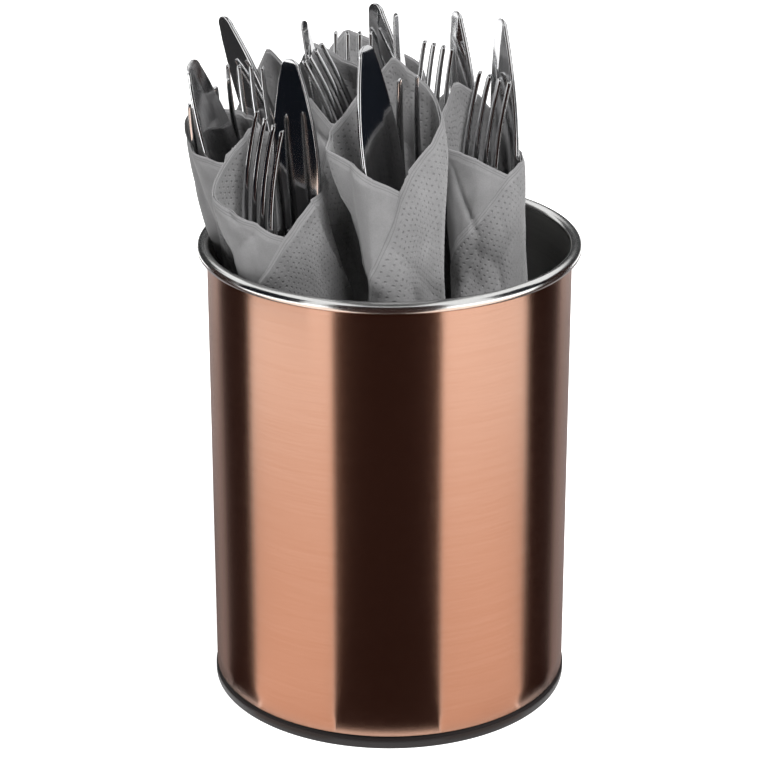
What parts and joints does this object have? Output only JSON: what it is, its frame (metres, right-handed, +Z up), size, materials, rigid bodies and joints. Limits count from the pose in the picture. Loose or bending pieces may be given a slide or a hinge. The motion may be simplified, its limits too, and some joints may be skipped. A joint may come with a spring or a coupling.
{
  "type": "cutlery pot",
  "caption": "Round metal cutlery pot with a rolled rim and a dark base ring, holding knife and fork sets rolled in grey paper napkins.",
  "frame": {"origin": "centre of the base ring's underside, where the pot stands", "axes": "+Z up along the pot's axis, -Y the front seen in the reference view, +X to the right"},
  "size_m": [0.1345, 0.13, 0.2433],
  "materials": {
    "pot_shell": "brushed round the pot and tinted copper outside; plain brushed steel inside; polished rim",
    "pot_floor": "plain brushed steel",
    "base": "charcoal, satin",
    "napkin": "soft grey tissue, dot-embossed borders",
    "cutlery": "mirror-polished stainless steel"
  },
  "bodies": {
    "pot": {"wall": "pot_shell", "floor_pan": "pot_floor", "base_ring": "base"},
    "set_front_left": {"napkin_front_left": "napkin", "knife_front_left": "cutlery", "fork_front_left": "cutlery"},
    "set_front_middle": {"napkin_front_middle": "napkin", "knife_front_middle": "cutlery", "fork_front_middle": "cutlery"},
    "set_front_right": {"napkin_front_right": "napkin", "knife_front_right": "cutlery", "fork_front_right": "cutlery"},
    "set_left": {"napkin_left": "napkin", "knife_left": "cutlery", "fork_left": "cutlery"},
    "set_back_left": {"napkin_back_left": "napkin", "knife_back_left": "cutlery", "fork_back_left": "cutlery"},
    "set_middle": {"napkin_middle": "napkin", "knife_middle": "cutlery", "fork_middle": "cutlery"},
    "set_back_middle": {"napkin_back_middle": "napkin", "knife_back_middle": "cutlery", "fork_back_middle": "cutlery"},
    "set_right_middle": {"napkin_right_middle": "napkin", "knife_right_middle": "cutlery", "fork_right_middle": "cutlery"},
    "set_back_right": {"napkin_back_right": "napkin", "knife_back_right": "cutlery", "fork_back_right": "cutlery"}
  },
  "joints": [
    {"name": "lift_front_left", "type": "slide", "parent": "pot", "child": "set_front_left", "axis": [-0.0517, -0.1615, 0.9855], "range_m": [0, 0.24]},
    {"name": "lift_front_middle", "type": "slide", "parent": "pot", "child": "set_front_middle", "axis": [-0.1108, -0.0098, 0.9938], "range_m": [0, 0.24]},
    {"name": "lift_front_right", "type": "slide", "parent": "pot", "child": "set_front_right", "axis": [-0.0672, 0.024, 0.9975], "range_m": [0, 0.24]},
    {"name": "lift_left", "type": "slide", "parent": "pot", "child": "set_left", "axis": [-0.2614, -0.1514, 0.9533], "range_m": [0, 0.24]},
    {"name": "lift_back_left", "type": "slide", "parent": "pot", "child": "set_back_left", "axis": [-0.2946, -0.0926, 0.9511], "range_m": [0, 0.24]},
    {"name": "lift_middle", "type": "slide", "parent": "pot", "child": "set_middle", "axis": [-0.1884, -0.0236, 0.9818], "range_m": [0, 0.24]},
    {"name": "lift_back_middle", "type": "slide", "parent": "pot", "child": "set_back_middle", "axis": [-0.2061, 0.0424, 0.9776], "range_m": [0, 0.24]},
    {"name": "lift_right_middle", "type": "slide", "parent": "pot", "child": "set_right_middle", "axis": [-0.0902, 0.0263, 0.9956], "range_m": [0, 0.24]},
    {"name": "lift_back_right", "type": "slide", "parent": "pot", "child": "set_back_right", "axis": [-0.1076, 0.0477, 0.993], "range_m": [0, 0.24]}
  ]
}
